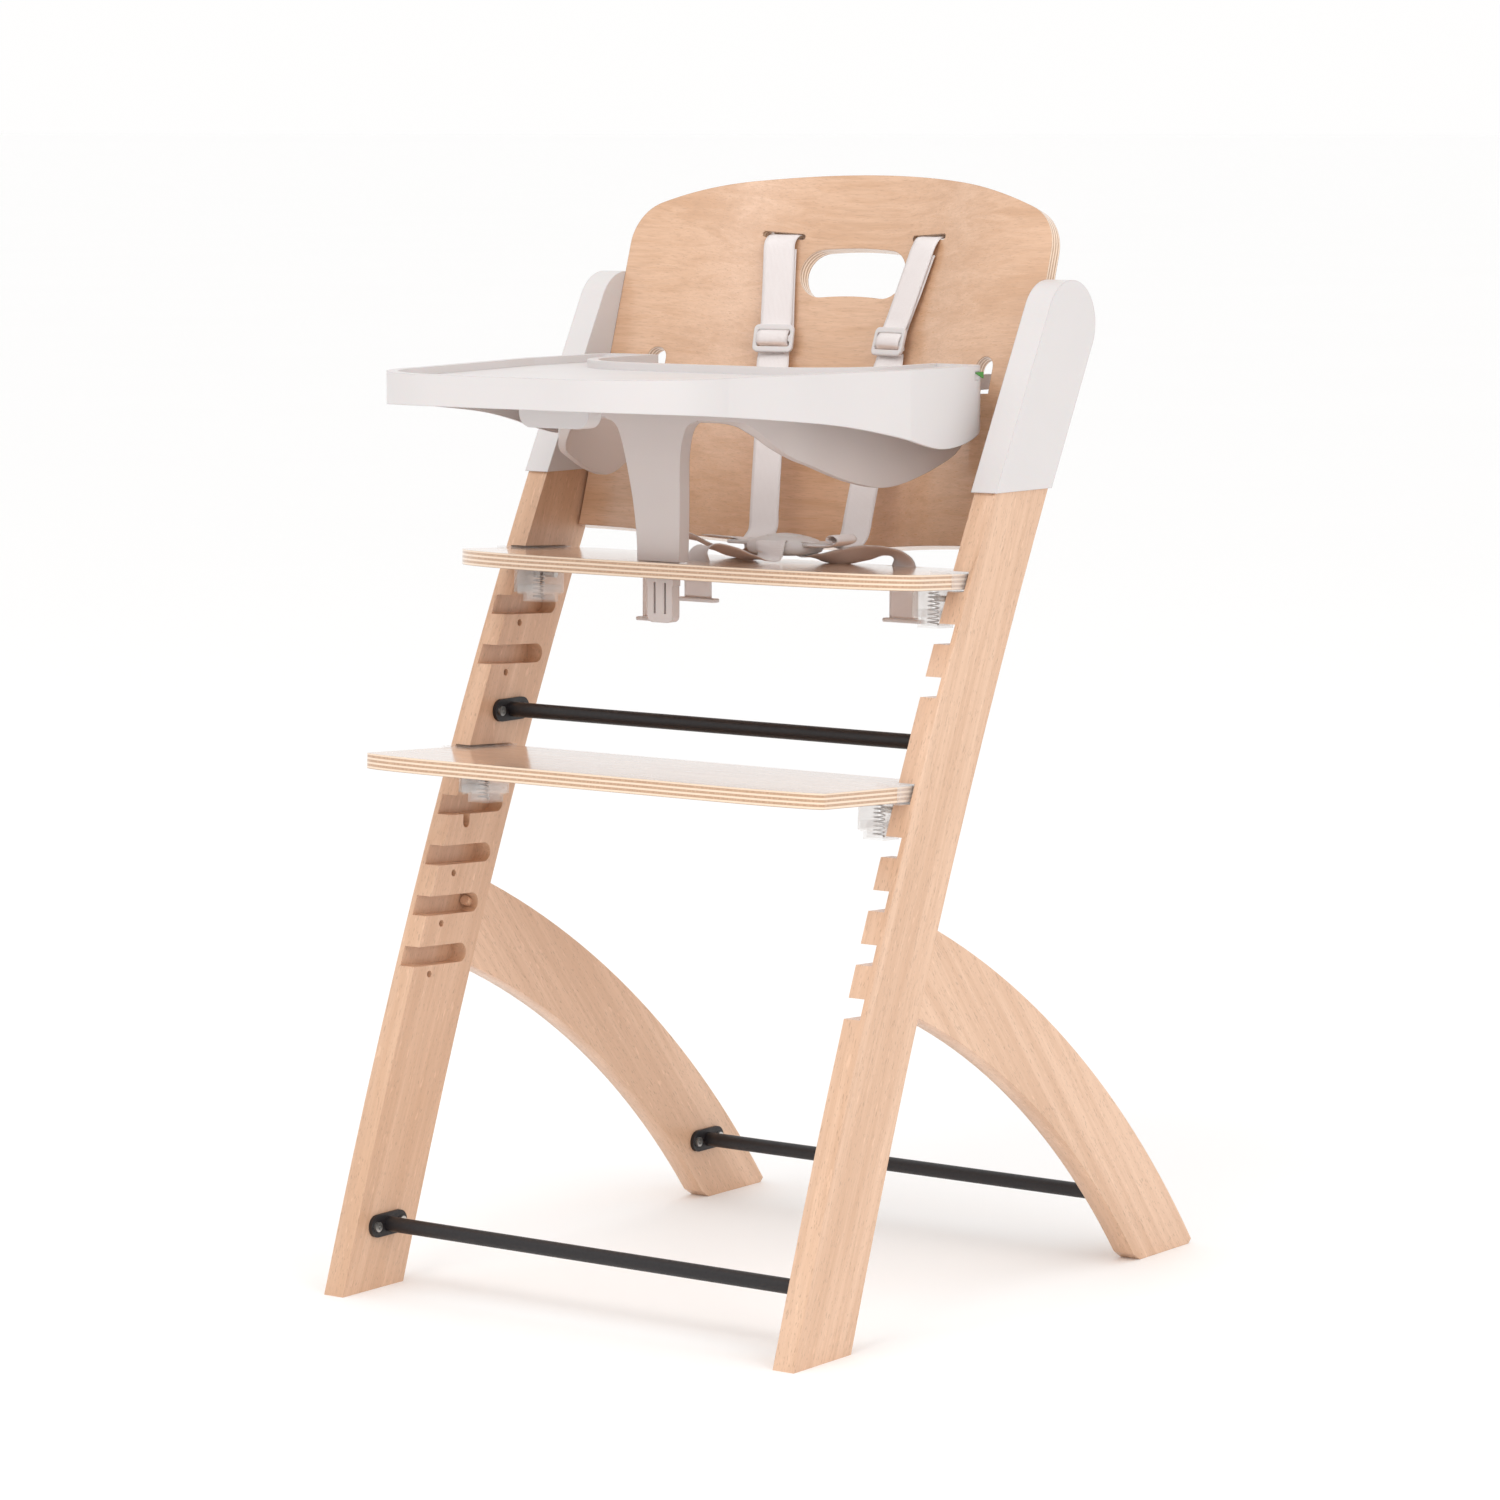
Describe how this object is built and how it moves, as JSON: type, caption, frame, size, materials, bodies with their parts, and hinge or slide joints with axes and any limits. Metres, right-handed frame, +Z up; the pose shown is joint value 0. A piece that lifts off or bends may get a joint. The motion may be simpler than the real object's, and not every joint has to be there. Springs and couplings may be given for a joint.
{
  "type": "baby high chair",
  "caption": "Beech and plywood high chair: sliding white tray, belly guard with centre post, five-point harness, seat and footrest in slots, curved rear legs.",
  "frame": {"origin": "bottom centre of the whole chair's box, on the floor between the four feet", "axes": "+Z up from the floor; -Y is the way the child faces, towards the tray; +X is the child's left side"},
  "size_m": [0.457, 0.6263, 0.874],
  "materials": {
    "beech": "satin clear lacquer",
    "plywood": "satin clear lacquer, layered edges",
    "white_plastic": "satin",
    "black_steel": "satin powder coat",
    "zinc_steel": "zinc plated",
    "spring_steel": "bright",
    "clear_plastic": "clear",
    "webbing": "woven",
    "green_plastic": "gloss"
  },
  "bodies": {
    "frame": {"upright_left": "beech", "upright_right": "beech", "rear_leg_left": "beech", "rear_leg_right": "beech", "cap_left": "white_plastic", "cap_right": "white_plastic", "backrest": "plywood", "bar_front": "black_steel", "bar_middle": "black_steel", "bar_rear": "black_steel", "bar_flanges": "black_steel", "bar_screws": "zinc_steel", "leg_dowels": "beech", "backrest_screws": "zinc_steel", "shoulder_strap_upper_left": "webbing", "shoulder_strap_upper_right": "webbing", "shoulder_stops": "white_plastic", "strap_adjusters": "white_plastic"},
    "seat": {"seat_board": "plywood", "seat_clip_left": "clear_plastic", "seat_clip_right": "clear_plastic", "seat_spring_left": "spring_steel", "seat_spring_right": "spring_steel", "guard_bar": "white_plastic", "crotch_strap": "webbing", "lap_strap_left": "webbing", "lap_strap_right": "webbing", "shoulder_strap_lower_left": "webbing", "shoulder_strap_lower_right": "webbing", "strap_stops": "white_plastic", "buckle_body": "white_plastic", "buckle_tongues": "white_plastic"},
    "footrest": {"footrest_board": "plywood", "foot_clip_left": "clear_plastic", "foot_clip_right": "clear_plastic", "foot_spring_left": "spring_steel", "foot_spring_right": "spring_steel"},
    "tray": {"tray": "white_plastic", "lock_indicators": "green_plastic"},
    "tray_lever": {"tray_lever": "white_plastic"},
    "buckle_button": {"buckle_button": "white_plastic"},
    "seat_button_left": {"seat_button_left": "clear_plastic"},
    "seat_pin_left": {"seat_pin_left": "spring_steel"},
    "seat_button_right": {"seat_button_right": "clear_plastic"},
    "seat_pin_right": {"seat_pin_right": "spring_steel"},
    "foot_button_left": {"foot_button_left": "clear_plastic"},
    "foot_pin_left": {"foot_pin_left": "spring_steel"},
    "foot_button_right": {"foot_button_right": "clear_plastic"},
    "foot_pin_right": {"foot_pin_right": "spring_steel"}
  },
  "joints": [
    {"name": "seat_slide", "type": "slide", "parent": "frame", "child": "seat", "axis": [0, -0.9986, 0.0523], "range_m": [0, 0.056]},
    {"name": "footrest_slide", "type": "slide", "parent": "frame", "child": "footrest", "axis": [0, -0.9986, 0.0523], "range_m": [0, 0.056]},
    {"name": "tray_slide", "type": "slide", "parent": "seat", "child": "tray", "axis": [0, -1, 0], "range_m": [0, 0.1]},
    {"name": "tray_lever_pull", "type": "slide", "parent": "tray", "child": "tray_lever", "axis": [0, -1, 0], "range_m": [0, 0.008], "stiffness_N_per_m": 500},
    {"name": "buckle_press", "type": "slide", "parent": "seat", "child": "buckle_button", "axis": [0, 0, -1], "range_m": [0, 0.003], "stiffness_N_per_m": 800},
    {"name": "seat_press_left", "type": "slide", "parent": "seat", "child": "seat_button_left", "axis": [0, 0.0523, 0.9986], "range_m": [0, 0.005], "stiffness_N_per_m": 400, "deforming": ["seat_spring_left"]},
    {"name": "seat_bolt_left", "type": "slide", "parent": "seat", "child": "seat_pin_left", "axis": [1, 0, 0], "range_m": [0, 0.005]},
    {"name": "seat_press_right", "type": "slide", "parent": "seat", "child": "seat_button_right", "axis": [0, 0.0523, 0.9986], "range_m": [0, 0.005], "stiffness_N_per_m": 400, "deforming": ["seat_spring_right"]},
    {"name": "seat_bolt_right", "type": "slide", "parent": "seat", "child": "seat_pin_right", "axis": [-1, 0, 0], "range_m": [0, 0.005]},
    {"name": "foot_press_left", "type": "slide", "parent": "footrest", "child": "foot_button_left", "axis": [0, 0.0523, 0.9986], "range_m": [0, 0.005], "stiffness_N_per_m": 400, "deforming": ["foot_spring_left"]},
    {"name": "foot_bolt_left", "type": "slide", "parent": "footrest", "child": "foot_pin_left", "axis": [1, 0, 0], "range_m": [0, 0.005]},
    {"name": "foot_press_right", "type": "slide", "parent": "footrest", "child": "foot_button_right", "axis": [0, 0.0523, 0.9986], "range_m": [0, 0.005], "stiffness_N_per_m": 400, "deforming": ["foot_spring_right"]},
    {"name": "foot_bolt_right", "type": "slide", "parent": "footrest", "child": "foot_pin_right", "axis": [-1, 0, 0], "range_m": [0, 0.005]}
  ],
  "couplings": [
    {"joint": "seat_bolt_left", "follows": "seat_press_left", "ratio": 1},
    {"joint": "seat_bolt_right", "follows": "seat_press_right", "ratio": 1},
    {"joint": "foot_bolt_left", "follows": "foot_press_left", "ratio": 1},
    {"joint": "foot_bolt_right", "follows": "foot_press_right", "ratio": 1}
  ]
}
